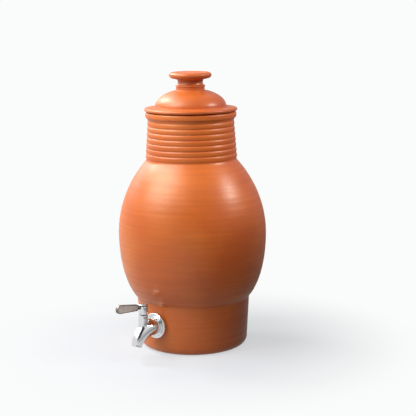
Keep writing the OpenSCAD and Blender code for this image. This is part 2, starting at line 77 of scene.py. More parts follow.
# ---------------------------------------------------------------- pot
# The pot is thrown in red earthenware, burnished while leather-hard and fired without a glaze.
# Its drum, belly and neck are luted together and fired as one, and the fingers left seven ribs round
# the neck.
belly_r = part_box("belly")[1].x / MM
rim_top_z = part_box("neck")[1].z / MM
belly_z = 150
drum_bottom_r, drum_top_r, seam_z, foot_round = 71, 74.2, 64.5, 10.5
neck_root_r, neck_top_r, neck_root_z = 59.6, 56.6, 246
rib_count, rib_pitch, rib_depth = 7, 7, 0.9
cove_h, cove_out, rib_foot = 4, 2.6, 2.5
ribs_z = neck_root_z + rib_foot
leave_l, leave_turn = 19.1, math.radians(51.7)
arrive_l, arrive_turn = 29.7, math.radians(48.3)
under_wide, over_wide = 36.5, 40.2
rim_r, rim_h, rim_edge = 59.2, 8.2, 2.6
drum_wall, belly_wall, neck_inner_r = 9, 8, 50
floor_t, floor_round, floor_draw_in = 10, 10, 1.2
tap_z, shank_hole_r, drill_from, drill_to = 39, 7.5, 40, 90
mark_depth, mark_fade_r = 0.045, 40
mark_pitch, mark_swell, cross_pitch, cross_share = 9, 61, 23, 0.6


def arc(centre, rx, ry, start, stop, steps):
    """Points on an ellipse, centre + (rx cos a, ry sin a), with a from start to stop in degrees."""
    a = np.radians(np.linspace(start, stop, steps + 1))
    return np.stack([centre[0] + rx * np.cos(a), centre[1] + ry * np.sin(a)], axis=1)


def curve(p0, p1, p2, p3, steps):
    """A cubic Bezier, (1-t)^3 p0 + 3 (1-t)^2 t p1 + 3 (1-t) t^2 p2 + t^3 p3."""
    p0, p1, p2, p3 = [np.array(p) for p in (p0, p1, p2, p3)]
    t = np.linspace(0, 1, steps + 1)[:, None]
    s = 1 - t
    return s**3 * p0 + 3 * s * s * t * p1 + 3 * s * t * t * p2 + t**3 * p3


def soften(outline, step, width):
    """Spaces an outline's points evenly, and averages them over a bell curve of the given width."""
    outline = np.asarray(outline, float)
    way = np.concatenate([[0], np.cumsum(np.hypot(*np.diff(outline, axis=0).T))])
    even = np.linspace(0, way[-1], int(way[-1] / step) + 1)
    points = np.stack([np.interp(even, way, outline[:, k]) for k in (0, 1)], axis=1)
    reach = int(np.ceil(3 * width / step))
    bell = np.exp(-0.5 * (np.arange(-reach, reach + 1) * step / width) ** 2)
    before = 2 * points[0] - points[reach:0:-1]
    after = 2 * points[-1] - points[-2:-reach - 2:-1]
    padded = np.concatenate([before, points, after])
    return np.stack([np.convolve(padded[:, k], bell / bell.sum(), "valid") for k in (0, 1)], axis=1)


def thin(outline, longest, turn):
    """Respaces an outline's points: a step is longest mm, or less where it turns by turn degrees sooner."""
    run = np.diff(outline, axis=0)
    heading = np.unwrap(np.arctan2(run[:, 1], run[:, 0]))
    bend = np.abs(np.diff(heading, prepend=heading[0]))
    steps = np.concatenate([[0], np.cumsum(np.hypot(*run.T) / longest + np.degrees(bend) / turn)])
    even = np.linspace(0, steps[-1], int(steps[-1]) + 1)
    return np.stack([np.interp(even, steps, outline[:, k]) for k in (0, 1)], axis=1)


def revolve(outline, sides):
    """Carries each (r, z) round the pot's axis: (r cos a, r sin a, z), as rows of points."""
    a = np.linspace(0, 2 * np.pi, sides, endpoint=False)
    r, z = outline[:, 0:1], outline[:, 1:2]
    return np.stack([r * np.cos(a), r * np.sin(a), z + 0 * a], axis=2)


def along_tap(outline, sides):
    """Carries each (r, u) round the tap's axis, with u the distance out from the pot's axis."""
    grid = revolve(outline, sides)
    return np.stack([grid[..., 0], -grid[..., 2], tap_z + grid[..., 1]], axis=2)


def skin(name, grids, sharp, closed_rows=False, capped=False):
    """One mesh over grids of points in mm. Neighbours in a row and between rows make quads, a row closes
    on itself, and closed_rows joins the last row to the first. capped shuts the first and last rows with
    a face each. Points that meet, as at a pole, become one. Edges over sharp degrees stay sharp."""
    points, faces, base = [], [], 0
    for grid in grids:
        rows, columns = grid.shape[:2]
        index = base + np.arange(rows * columns).reshape(rows, columns)
        low = index if closed_rows else index[:-1]
        high = np.roll(index, -1, axis=0) if closed_rows else index[1:]
        low_next, high_next = np.roll(low, -1, axis=1), np.roll(high, -1, axis=1)
        faces += np.stack([low, low_next, high_next, high], axis=2).reshape(-1, 4).tolist()
        if capped:
            faces += [index[0, ::-1].tolist(), index[-1].tolist()]
        points.append(grid.reshape(-1, 3))
        base += rows * columns
    mesh = bpy.data.meshes.new(name)
    mesh.from_pydata((np.concatenate(points) * MM).tolist(), [], faces)
    work = bmesh.new()
    work.from_mesh(mesh)
    bmesh.ops.remove_doubles(work, verts=work.verts, dist=2e-7)
    work.to_mesh(mesh)
    work.free()
    mesh.shade_smooth()
    mesh.set_sharp_from_angle(angle=math.radians(sharp))
    made = bpy.data.objects.new(name, mesh)
    bpy.context.scene.collection.objects.link(made)
    return made


def colour(code):
    """An sRGB hex value as linear RGBA."""
    c = np.array([int(code[i:i + 2], 16) for i in (1, 3, 5)]) / 255
    c = np.where(c < 0.04045, c / 12.92, ((c + 0.055) / 1.055) ** 2.4)
    return (*c.tolist(), 1.0)


def add(tree, kind, settings=None, inputs=None):
    """Adds one node to a material, with its settings, and sets or links its inputs."""
    made = tree.nodes.new("ShaderNode" + kind)
    for key, value in (settings or {}).items():
        setattr(made, key, value)
    for key, value in (inputs or {}).items():
        if isinstance(value, bpy.types.NodeSocket):
            tree.links.new(value, made.inputs[key])
        else:
            made.inputs[key].default_value = value
    return made


def material(name):
    """An empty material and its node tree, with only an output."""
    made = bpy.data.materials.new(name)
    made.use_nodes = True
    made.node_tree.nodes.clear()
    return made, made.node_tree


def burnished_earthenware(name, turn, brown, orange):
    # Unglazed red earthenware, rubbed with a smooth stone on the wheel: a soft sheen, faint level
    # streaks from the stone and the fingers, and orange and brown patches where the fire touched it.
    # Streaks are drawn 3 mm high, and the grain 2 mm wide, because finer ones don't show.
    made, tree = material(name)
    where = add(tree, "TexCoord").outputs["Object"]
    moved = add(tree, "Mapping", None, {"Vector": where, "Location": (turn, 0.3, 0.1)}).outputs[0]
    level_ways = add(tree, "Mapping", None, {"Vector": moved, "Scale": (11, 11, 340)}).outputs[0]
    fine_ways = add(tree, "Mapping", None, {"Vector": moved, "Scale": (26, 26, 900)}).outputs[0]
    patches = add(tree, "TexNoise", None, {"Vector": moved, "Scale": 13, "Detail": 3}).outputs[0]
    streaks = add(tree, "TexNoise", None, {"Vector": level_ways, "Scale": 1, "Detail": 3}).outputs[0]
    lines = add(tree, "TexNoise", None, {"Vector": fine_ways, "Scale": 1, "Detail": 2}).outputs[0]
    grain = add(tree, "TexNoise", None, {"Vector": moved, "Scale": 480, "Detail": 3}).outputs[0]
    fired = add(tree, "MapRange", None, {"Value": patches, "From Min": 0.35, "From Max": 0.65}).outputs[0]
    rubbed = add(tree, "MapRange", None, {"Value": streaks, "From Min": 0.35, "From Max": 0.7,
        "To Max": 0.4}).outputs[0]
    body = add(tree, "Mix", {"data_type": "RGBA"},
        {0: fired, 6: colour(brown), 7: colour(orange)}).outputs[2]
    toned = add(tree, "Mix", {"data_type": "RGBA"},
        {0: rubbed, 6: body, 7: colour("#B34E1C")}).outputs[2]
    sheen = add(tree, "MapRange", None, {"Value": streaks, "From Min": 0.3, "From Max": 0.7,
        "To Min": 0.3, "To Max": 0.38}).outputs[0]
    sheen = add(tree, "Math", {"operation": "MULTIPLY_ADD"}, {0: grain, 1: 0.1, 2: sheen}).outputs[0]
    relief = add(tree, "Math", {"operation": "MULTIPLY_ADD"}, {0: streaks, 1: 0.45, 2: lines}).outputs[0]
    relief = add(tree, "Math", {"operation": "MULTIPLY_ADD"}, {0: grain, 1: 0.9, 2: relief}).outputs[0]
    bump = add(tree, "Bump", None, {"Strength": 0.4, "Distance": 0.0002, "Height": relief}).outputs[0]
    shader = add(tree, "BsdfPrincipled", None,
        {"Base Color": toned, "Roughness": sheen, "IOR": 1.5, "Normal": bump})
    add(tree, "OutputMaterial", None, {"Surface": shader.outputs[0]})
    return made


def rib(i):
    """A flat arch between two grooves: the crest's radius less rib_depth |u|^3, with u from -1 to 1."""
    u = np.linspace(-1, 1, 21)
    crest = neck_root_r + (neck_top_r - neck_root_r) * i / (rib_count - 1)
    return np.stack([crest - rib_depth * np.abs(u) ** 3, ribs_z + rib_pitch * (i + (u + 1) / 2)], axis=1)


def belly(inset, steps):
    """Two cubics, one up to the widest place and one from there to the neck, drawn in by the wall."""
    low = np.array([drum_top_r + cove_out - inset, seam_z + cove_h])
    wide = np.array([belly_r - inset, belly_z])
    high = np.array([neck_root_r - inset, neck_root_z])
    leave = leave_l * np.array([math.cos(leave_turn), math.sin(leave_turn)])
    arrive = arrive_l * np.array([math.cos(arrive_turn), -math.sin(arrive_turn)])
    under = curve(low, low + leave, wide - [0, under_wide], wide, steps)
    over = curve(wide, wide + [0, over_wide], high + arrive, high, steps)
    return np.concatenate([under, over[1:]])


seam = np.array([drum_top_r, seam_z])
belly_low = np.array([drum_top_r + cove_out, seam_z + cove_h])
wall_r = drum_bottom_r - drum_wall + floor_draw_in
pot_outline = np.concatenate([
    [[0, 0]],
    arc((drum_bottom_r - foot_round, foot_round), foot_round, foot_round, -90, 0, 24),
    curve(seam, seam + [0, cove_h / 2], belly_low - [cove_out / 2, cove_h / 3], belly_low, 8),
    belly(0, 60),
    *[rib(i) for i in range(rib_count)],
    arc((rim_r - rim_edge, rim_top_z - rim_h + rim_edge), rim_edge, rim_edge, -80, 0, 8),
    arc((rim_r - rim_edge, rim_top_z - rim_edge), rim_edge, rim_edge, 0, 90, 8),
    [[neck_inner_r, rim_top_z], [neck_inner_r, ribs_z]],
    belly(belly_wall, 40)[::-1],
    [[drum_top_r - drum_wall, seam_z]],
    arc((wall_r - floor_round, floor_t + floor_round), floor_round, floor_round, 0, -90, 16),
    [[0, floor_t]],
])
pot_outline = soften(pot_outline, step=0.4, width=0.5)
pot_outline[:, 1] = np.clip(pot_outline[:, 1], 0, rim_top_z)
rim_place = np.argmin(np.hypot(pot_outline[:, 0] - neck_inner_r, pot_outline[:, 1] - rim_top_z))
pot_outline = np.concatenate([
    thin(pot_outline[:rim_place], longest=1.8, turn=8),
    thin(pot_outline[rim_place:], longest=6, turn=10),
])

# The fingers' marks climb the wall as it turns: two spiral waves, one of which swells and fades over
# the height, that only ever cut inwards and die out towards the axis.
pot_grid = revolve(pot_outline, 192)
pot_z = pot_grid[..., 2]
turn = np.arctan2(pot_grid[..., 1], pot_grid[..., 0]) / (2 * np.pi)
waves = np.sin(2 * np.pi * (pot_z / mark_pitch + turn)) * np.sin(2 * np.pi * pot_z / mark_swell + 1)
waves += cross_share * np.sin(2 * np.pi * (pot_z / cross_pitch - turn) + 2)
reach = np.hypot(pot_grid[..., 0], pot_grid[..., 1])
cut = mark_depth * (1 + cross_share - waves) * np.clip(reach / mark_fade_r, 0, 1)
pot_grid[..., :2] *= (1 - cut / np.maximum(reach, 1))[..., None]

pot = skin("pot_clay", [pot_grid], sharp=40)

# The hole for the tap's shank is drilled through the wall once it is dry.
hole_outline = [[0, drill_from], [shank_hole_r, drill_from], [shank_hole_r, drill_to], [0, drill_to]]
drill = skin("drill", [along_tap(np.array(hole_outline, float), 48)], sharp=40)
cutting = pot.modifiers.new("shank_hole", "BOOLEAN")
cutting.operation, cutting.solver, cutting.object = "DIFFERENCE", "EXACT", drill
bpy.context.view_layer.update()
drilled = bpy.data.meshes.new_from_object(pot.evaluated_get(bpy.context.evaluated_depsgraph_get()))
pot.modifiers.clear()
pot.data = drilled
bpy.data.objects.remove(drill)
pot.data.materials.clear()
pot.data.materials.append(burnished_earthenware("burnished_earthenware_pot", 0.0, "#C2581C", "#D26B28"))
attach(pot, "vessel")
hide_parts("drum", "belly", "neck")


# ---------------------------------------------------------------- lid
# The lid is thrown in the same clay: a flange that lies on the rim, a dome, and a knob turned like a
# spool with a fine bead round its foot. It is hollow, and a ring under it keeps it in the neck.
lid_low, lid_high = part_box("lid")
lid_flange_r = lid_high.x / MM
knob_top_z = lid_high.z / MM
flange_t, flange_rise, lid_edge, lid_gap = 5.2, 1.6, 2.2, 0.8
dome_r, dome_h, dome_wall, dome_cove = 46.3, 21, 7, 2
ring_r, ring_t = 48, 5
ring_z = lid_low.z / MM
knob_foot_r, knob_waist_r, knob_r, knob_t, knob_edge, knob_dish = 18.5, 16.2, 27.6, 9.2, 5.5, 0.8
knob_waist_h, bead, bead_h = 7.6, 0.9, 1.8
gap_start_r, gap_full_r = 53, 54
dome_z = rim_top_z + flange_t + flange_rise
dome_top_z = dome_z + dome_h
knob_waist_z = knob_top_z - knob_t - knob_waist_h
inner_z = dome_z - flange_t
knob_angle = math.degrees(math.acos(knob_foot_r / dome_r))
disc_r = knob_r - knob_edge
disc_over, disc_under = 0.4 * knob_t, knob_t / 2
disc_z = knob_top_z - disc_over
waist_in, waist_z = knob_foot_r - knob_waist_r, knob_waist_z + knob_waist_h / 2

lid_outline = np.concatenate([
    arc((0, inner_z), ring_r - ring_t, dome_top_z - dome_wall - inner_z, 90, 0, 32),
    [[ring_r - ring_t, ring_z], [ring_r, ring_z], [ring_r, rim_top_z], [gap_start_r, rim_top_z]],
    [[gap_full_r, rim_top_z + lid_gap], [lid_flange_r - lid_edge, rim_top_z + lid_gap]],
    arc((lid_flange_r - lid_edge, rim_top_z + lid_edge), lid_edge, lid_edge - lid_gap, -90, 0, 8),
    arc((lid_flange_r - lid_edge, rim_top_z + flange_t - lid_edge), lid_edge, lid_edge, 0, 70, 8),
    [[dome_r + dome_cove, dome_z - flange_rise / 4]],
    arc((0, dome_z), dome_r, dome_h / math.sin(math.radians(knob_angle)), 0, knob_angle, 40),
    arc((knob_foot_r, knob_waist_z - bead_h / 2), bead, bead_h / 2, -90, 90, 10),
    arc((knob_foot_r, waist_z), waist_in, knob_waist_h / 2, 260, 100, 16),
    arc((disc_r, disc_z), knob_edge, disc_under, -75, 0, 10),
    arc((disc_r, disc_z), knob_edge, disc_over, 0, 90, 10),
    [[disc_r - knob_edge, knob_top_z - knob_dish], [0, knob_top_z - knob_dish]],
])
lid_outline = thin(soften(lid_outline, step=0.2, width=0.25), longest=1.2, turn=6)
lid_outline[:, 1] = np.clip(lid_outline[:, 1], ring_z, knob_top_z)
lid_outline[:, 0] = np.clip(lid_outline[:, 0], 0, lid_flange_r)
lid = skin("lid_clay", [revolve(lid_outline, 180)], sharp=40)
# The lid's tones are browner than the pot's, and darker as painted shade against the stronger light on its
# upward faces.
lid.data.materials.append(burnished_earthenware("burnished_earthenware_lid", 0.7, "#B5501F", "#C5622B"))
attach(lid, "lid")
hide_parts("lid")


# ---------------------------------------------------------------- wall flange
# A pressed and polished steel rosette between the tap and the drum. Its edge is rounded over, and its
# face is hollowed round the raised seat that the spout's root stands on.
flange_low, flange_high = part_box("wall_flange")
flange_back, flange_front = -flange_high.y / MM, -flange_low.y / MM
flange_r = flange_high.x / MM
flange_bore_r, flange_round, flange_dish = 7.5, 1.4, 0.8
brow, brow_drop, dish_slope, seat_step = 2.8, 0.25, 0.5, 0.5
spout_root_r = 11.3


def polished_steel(name, scratch):
    # Stainless steel, buffed to a near mirror after casting or pressing: clear reflections of the white
    # room, faintly blurred by the wheel's marks, which run 0.8 mm apart here so that they show at all.
    # A coarser wheel, with a higher scratch, leaves it satin.
    made, tree = material(name)
    where = add(tree, "TexCoord").outputs["Object"]
    ways = add(tree, "Mapping", None, {"Vector": where, "Scale": (300, 300, 1200)}).outputs[0]
    marks = add(tree, "TexNoise", None, {"Vector": ways, "Scale": 1, "Detail": 3}).outputs[0]
    cloud = add(tree, "TexNoise", None, {"Vector": where, "Scale": 180, "Detail": 2}).outputs[0]
    gloss = add(tree, "MapRange", None, {"Value": cloud, "From Min": 0.3, "From Max": 0.7,
        "To Min": scratch, "To Max": scratch + 0.07}).outputs[0]
    tint = add(tree, "Mix", {"data_type": "RGBA"},
        {0: marks, 6: colour("#D4D5D6"), 7: colour("#E2E3E3")}).outputs[2]
    bump = add(tree, "Bump", None, {"Strength": 0.06, "Distance": 0.0001, "Height": marks}).outputs[0]
    shader = add(tree, "BsdfPrincipled", None,
        {"Base Color": tint, "Metallic": 1.0, "Roughness": gloss, "Normal": bump})
    add(tree, "OutputMaterial", None, {"Surface": shader.outputs[0]})
    return made


def closed_outline(points, step, width):
    """Softens an outline that runs back to its start, from the middle of its first side round to there."""
    points = np.asarray(points, float)
    start = (points[0] + points[1]) / 2
    return soften(np.concatenate([[start], points[1:], points[:1], [start]]), step, width)[:-1]


steel = polished_steel("buffed_stainless_steel", 0.1)
dish_u, seat_r = flange_front - flange_dish, spout_root_r + seat_step
flange_outline = closed_outline([
    [flange_bore_r, flange_back], [flange_r, flange_back], [flange_r, flange_front - flange_round],
    *arc((flange_r - flange_round, flange_front - flange_round), flange_round, flange_round, 15, 90, 6),
    [flange_r - brow, flange_front - brow_drop], [flange_r - brow - dish_slope, dish_u],
    [seat_r, dish_u], [seat_r, flange_front], [flange_bore_r, flange_front],
], step=0.12, width=0.12)
flange = skin("wall_flange_rosette", [along_tap(flange_outline, 128)], sharp=50, closed_rows=True)
flange.data.materials.append(steel)
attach(flange, "vessel")
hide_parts("wall_flange")


# ---------------------------------------------------------------- tap body
# The spout is one investment casting with the valve's neck on top, ground smooth and buffed. Behind
# the flange its shank carries a 1.25 mm thread through the wall for the lock nut.
spout_mouth_r, spout_straight, bend_r, bend_turn = 6.7, 8, 27, math.radians(70)
taper_power, lip_l, outlet_r = 1.8, 2.5, 4.6
mouth_round, bore_round, bore_step = 0.6, 0.4, 0.3
bore_share, bore_tip_share = 0.52, 0.56
bend_l = bend_r * bend_turn
stem_out, neck_rise = 20.5, 19.4
stem_y = flange_front + stem_out
neck_top_z = tap_z + neck_rise
stack_r, stack_edge, stack_corner = 6.1, 0.5, 0.15
chamber_r, chamber_edge, chamber_floor_z = 4.7, 0.1, 45
flare_foot_r, flare_narrower, flare_sunk = 8.9, 1.1, 0.5
flare_lean, flare_pull, flare_stop = 2.4, 0.62, 5.5
shank_end = -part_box("tap_body")[1].y / MM


def spout_place(s):
    """The middle of the spout at s along it: straight for spout_straight, then on a circle of bend_r."""
    turned = np.clip((s - spout_straight) / bend_l, 0, 1) * bend_turn
    after = np.maximum(s - spout_straight - bend_l, 0)
    out = flange_front + np.minimum(s, spout_straight) + bend_r * np.sin(turned) + after * np.cos(turned)
    high = tap_z - bend_r * (1 - np.cos(turned)) - after * np.sin(turned)
    return out, high, turned


def spout_radius(s):
    """The root's radius less the whole taper times (share of the way along) ^ taper_power."""
    share = np.clip(s / (spout_straight + bend_l), 0, 1)
    return spout_root_r - (spout_root_r - spout_mouth_r) * share**taper_power


def along_spout(outline, sides):
    """Carries each (r, s) round the spout's bent middle line, on circles square to it."""
    a = np.linspace(0, 2 * np.pi, sides, endpoint=False)
    r, s = outline[:, 0:1], outline[:, 1:2]
    out, high, turned = spout_place(s)
    up = r * np.sin(a)
    return np.stack([r * np.cos(a), -out - up * np.sin(turned), high + up * np.cos(turned)], axis=2)


def spout_top(x, out):
    """The height and normal of the spout's upper side over a place (x, out), by halving a range of s."""
    low, high = np.zeros_like(x), np.full_like(x, spout_straight + bend_l)
    for _ in range(40):
        s = (low + high) / 2
        centre, _, turned = spout_place(s)
        reach = centre + np.sqrt(np.maximum(spout_radius(s) ** 2 - x * x, 0)) * np.sin(turned)
        low, high = np.where(reach < out, s, low), np.where(reach < out, high, s)
    _, level_z, turned = spout_place(s)
    up = np.sqrt(np.maximum(spout_radius(s) ** 2 - x * x, 0))
    normal = np.stack([x, up * np.sin(turned), up * np.cos(turned)], axis=-1) / spout_radius(s)[..., None]
    return level_z + up * np.cos(turned), normal


spout_end = spout_straight + bend_l + lip_l
bore_mouth = spout_end - lip_l
s_out = np.linspace(0, spout_end - mouth_round, 90)
spout_outline = np.concatenate([
    [[0, 0]],
    np.stack([spout_radius(s_out), s_out], axis=1),
    arc((spout_mouth_r - mouth_round, spout_end - mouth_round), mouth_round, mouth_round, 15, 90, 6),
    arc((outlet_r + bore_step + bore_round, spout_end - bore_round), bore_round, bore_round, 90, 180, 5),
    [[outlet_r + bore_step, bore_mouth], [outlet_r, bore_mouth - bore_step]],
    [[outlet_r, bore_mouth - bore_share * bend_l], [0, bore_mouth - bore_tip_share * bend_l]],
])
spout_grid = along_spout(spout_outline, 96)


def round_the_stem(r, z, a):
    """The point at r from the stem and at angle a from the tap's front: (r sin a, -stem_y - r cos a, z)."""
    return np.stack(np.broadcast_arrays(r * np.sin(a), -stem_y - r * np.cos(a), z), axis=-1)


# The valve's neck rises from an oval foot on the spout, on cubics that start along the spout's side and
# arrive upright under the straight part.
stem_turn = np.linspace(0, 2 * np.pi, 96, endpoint=False)
foot_r = flare_foot_r - flare_narrower * np.sin(stem_turn) ** 2
foot_x, foot_out = foot_r * np.sin(stem_turn), stem_y + foot_r * np.cos(stem_turn)
foot_z, normal = spout_top(foot_x, foot_out)
foot = np.stack([foot_x, -foot_out, foot_z], axis=1)
normal[:, 1] *= -1
inward = np.stack([-np.sin(stem_turn), np.cos(stem_turn), 0 * stem_turn], axis=1)
inward -= normal * np.sum(inward * normal, axis=1)[:, None]
inward /= np.linalg.norm(inward, axis=1)[:, None]
flare_top = round_the_stem(stack_r, neck_top_z - flare_stop, stem_turn)
rise = (flare_top[:, 2] - foot_z)[:, None]
t = np.linspace(0, 1, 17)[:, None, None]
flare = ((1 - t) ** 3 * foot + 3 * (1 - t) ** 2 * t * (foot + flare_lean * inward)
    + 3 * (1 - t) * t * t * (flare_top - [0, 0, 1] * rise * flare_pull) + t**3 * flare_top)
neck_outline = [
    (stack_r, neck_top_z - stack_edge), (stack_r - stack_corner, neck_top_z - stack_corner),
    (stack_r - stack_edge, neck_top_z), (chamber_r + chamber_edge, neck_top_z),
    (chamber_r, neck_top_z - chamber_edge), (chamber_r, chamber_floor_z),
]
neck_rings = np.stack([round_the_stem(r, z, stem_turn) for r, z in neck_outline])
neck_grid = np.concatenate([(foot - normal * flare_sunk)[None], flare, neck_rings])[:, ::-1]


def sector(low, high, width, start, stop, steps):
    """A bar bent round the stem: the box between two corners (r, z) is softened, carried from start to
    stop in degrees, and shut at both ends by a fan of faces round its middle."""
    (r0, z0), (r1, z1) = low, high
    section = closed_outline([[r0, z0], [r1, z0], [r1, z1], [r0, z1]], step=0.1, width=width)
    turned = np.radians(np.linspace(start, stop, steps))[:, None]
    bar = round_the_stem(section[:, 0], section[:, 1], turned)
    tips = round_the_stem((r0 + r1) / 2, (z0 + z1) / 2, turned[[0, -1]] + 0 * section[:, 0])
    return np.concatenate([tips[:1], bar, tips[1:]])


# The lug stands on the neck's top edge, and stops the lever at both ends of its quarter turn.
lug_in, lug_out, lug_sunk, lug_h, lug_half = 4.75, 5.95, 0.5, 2.3, 12
lug_grid = sector((lug_in, neck_top_z - lug_sunk), (lug_out, neck_top_z + lug_h), 0.08,
    -lug_half, lug_half, 13)


def round_the_tap(r, u, a):
    """The point at r and angle a round the tap's axis, and u out: (r cos a, -u, tap_z + r sin a)."""
    return np.stack(np.broadcast_arrays(r * np.cos(a), -u, tap_z + r * np.sin(a)), axis=-1)


# The thread's depth follows a zigzag once per pitch and turn, flat at root and crest, and the shank's
# end is tapered so that the nut finds its way on.
thread_pitch, thread_step, thread_flat = 1.25, 0.16, 0.125
thread_root_r, thread_h, shank_tip_r, shank_bore_r = 6.3, 0.7, 6.0, 4
shank_turn = np.linspace(0, 2 * np.pi, 64, endpoint=False)
shank_front = flange_front + 4
u = np.arange(shank_end, shank_front, thread_step)[:, None]
tooth = np.abs(((u / thread_pitch - shank_turn / (2 * np.pi)) % 1) * 2 - 1)
thread_r = thread_root_r + thread_h * np.clip(tooth * (1 + 2 * thread_flat) - thread_flat, 0, 1)
thread_r = np.minimum(thread_r, shank_tip_r + u - shank_end)
bore_u = np.array([shank_front, shank_end])[:, None]
shank_grid = np.concatenate([
    round_the_tap(thread_r, u, shank_turn), round_the_tap(shank_bore_r, bore_u, shank_turn)])

spout = skin("spout", [spout_grid], sharp=50)
neck = skin("valve_neck", [neck_grid], sharp=35, closed_rows=True)
lug = skin("stop_lug", [lug_grid], sharp=35)
shank = skin("threaded_shank", [shank_grid], sharp=60, closed_rows=True)
for part in (spout, neck, lug, shank):
    part.data.materials.append(steel)
    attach(part, "vessel")
    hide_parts("tap_body")


# ---------------------------------------------------------------- gaskets
# Two black nitrile rubber rings, moulded and slightly dusty: one is squeezed between the flange and
# the drum, and one lies inside the drum under the washer.
def moulded_rubber(name):
    # Black nitrile rubber: matt, with a pale bloom in soft clouds 4 mm across and a fine pebbled skin.
    made, tree = material(name)
    where = add(tree, "TexCoord").outputs["Object"]
    bloom = add(tree, "TexNoise", None, {"Vector": where, "Scale": 240, "Detail": 3}).outputs[0]
    pebbles = add(tree, "TexNoise", None, {"Vector": where, "Scale": 1800, "Detail": 1}).outputs[0]
    tint = add(tree, "Mix", {"data_type": "RGBA"},
        {0: bloom, 6: colour("#1E1D1C"), 7: colour("#33312F")}).outputs[2]
    bump = add(tree, "Bump", None, {"Strength": 0.3, "Distance": 0.0002, "Height": pebbles}).outputs[0]
    dry = add(tree, "MapRange", None, {"Value": bloom, "To Min": 0.6, "To Max": 0.85}).outputs[0]
    shader = add(tree, "BsdfPrincipled", None, {"Base Color": tint, "Roughness": dry, "Normal": bump})
    add(tree, "OutputMaterial", None, {"Surface": shader.outputs[0]})
    return made


def finish_node(name, made):
    """Gives a CAD node that keeps its own shape a material."""
    nodes[name].data.materials.clear()
    nodes[name].data.materials.append(made)


rubber = moulded_rubber("moulded_nitrile_rubber")
finish_node("front_gasket", rubber)
finish_node("rear_gasket", rubber)
finish_node("stem_oring", rubber)


# ---------------------------------------------------------------- washer, nut and valve
# Inside the drum a plain washer and a chamfered hexagon nut pull the tap tight. In the valve neck sit
# the gland, the plug with its stem, a nylon sleeve and a nylon thrust ring.
def turned_steel(name):
    # Stainless steel straight from the lathe: fine rings, drawn 0.7 mm apart so that they show, which
    # spread each reflection into a soft band.
    made, tree = material(name)
    where = add(tree, "TexCoord").outputs["Object"]
    ways = add(tree, "Mapping", None, {"Vector": where, "Scale": (200, 1400, 200)}).outputs[0]
    rings = add(tree, "TexNoise", None, {"Vector": ways, "Scale": 1, "Detail": 3}).outputs[0]
    tint = add(tree, "Mix", {"data_type": "RGBA"},
        {0: rings, 6: colour("#A9ABAD"), 7: colour("#C6C7C8")}).outputs[2]
    dull = add(tree, "MapRange", None, {"Value": rings, "To Min": 0.25, "To Max": 0.45}).outputs[0]
    bump = add(tree, "Bump", None, {"Strength": 0.2, "Distance": 0.0001, "Height": rings}).outputs[0]
    shader = add(tree, "BsdfPrincipled", None,
        {"Base Color": tint, "Metallic": 1.0, "Roughness": dull, "Normal": bump})
    add(tree, "OutputMaterial", None, {"Surface": shader.outputs[0]})
    return made


def moulded_nylon(name):
    # White nylon from a mould: a soft sheen over faint cloudiness.
    made, tree = material(name)
    where = add(tree, "TexCoord").outputs["Object"]
    cloud = add(tree, "TexNoise", None, {"Vector": where, "Scale": 300, "Detail": 2}).outputs[0]
    tint = add(tree, "Mix", {"data_type": "RGBA"},
        {0: cloud, 6: colour("#E4E1D8"), 7: colour("#F0EEE7")}).outputs[2]
    gloss = add(tree, "MapRange", None, {"Value": cloud, "To Min": 0.35, "To Max": 0.5}).outputs[0]
    shader = add(tree, "BsdfPrincipled", None, {"Base Color": tint, "Roughness": gloss, "IOR": 1.53})
    add(tree, "OutputMaterial", None, {"Surface": shader.outputs[0]})
    return made


def dull_steel(name, dark, pale):
    # Steel that nobody polished: as cast and bead-blasted, or blackened in oil, in tones given by each
    # caller, some darkened as painted reflection and painted shade. A soft grey mottle 3 mm across and a
    # fine grain break up what it mirrors.
    made, tree = material(name)
    where = add(tree, "TexCoord").outputs["Object"]
    mottle = add(tree, "TexNoise", None, {"Vector": where, "Scale": 330, "Detail": 4}).outputs[0]
    grain = add(tree, "TexNoise", None, {"Vector": where, "Scale": 1500, "Detail": 2}).outputs[0]
    share = add(tree, "MapRange", None, {"Value": mottle, "From Min": 0.3, "From Max": 0.7}).outputs[0]
    tint = add(tree, "Mix", {"data_type": "RGBA"}, {0: share, 6: colour(dark), 7: colour(pale)}).outputs[2]
    bump = add(tree, "Bump", None, {"Strength": 0.3, "Distance": 0.0002, "Height": grain}).outputs[0]
    shader = add(tree, "BsdfPrincipled", None,
        {"Base Color": tint, "Metallic": 1.0, "Roughness": 0.5, "Normal": bump})
    add(tree, "OutputMaterial", None, {"Surface": shader.outputs[0]})
    return made


inner_steel = turned_steel("turned_stainless_steel")
nylon = moulded_nylon("moulded_nylon")
for name in ("backing_washer", "valve_plug", "bonnet"):
    finish_node(name, inner_steel)
for name in ("valve_sleeve", "thrust_washer"):
    finish_node(name, nylon)

nut_low, nut_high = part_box("lock_nut")
nut_back, nut_front = -nut_high.y / MM, -nut_low.y / MM
nut_flats, nut_face_in, nut_bore_r, nut_mouth = 20, 0.3, 7.05, 0.5
chamfer = math.tan(math.radians(30))
# The hexagon's radius is half its width over the cosine of the angle from the nearest flat's middle,
# and its corners are turned down from the round face by the chamfer.
nut_turn = np.linspace(0, 2 * np.pi, 120, endpoint=False)
hexagon = nut_flats / 2 / np.cos(nut_turn % (np.pi / 3) - np.pi / 6)
face_r, mouth_r = nut_flats / 2 - nut_face_in, nut_bore_r + nut_mouth
drop = (hexagon - face_r) * chamfer
nut_outline = [
    (nut_bore_r, nut_back + nut_mouth), (mouth_r, nut_back), (face_r, nut_back),
    (hexagon, nut_back + drop), (hexagon, nut_front - drop),
    (face_r, nut_front), (mouth_r, nut_front), (nut_bore_r, nut_front - nut_mouth),
]
nut_grid = np.stack([round_the_tap(r, u, nut_turn) for r, u in nut_outline])
nut = skin("hexagon_nut", [nut_grid], sharp=20, closed_rows=True)
nut.data.materials.append(inner_steel)
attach(nut, "vessel")
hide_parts("lock_nut")
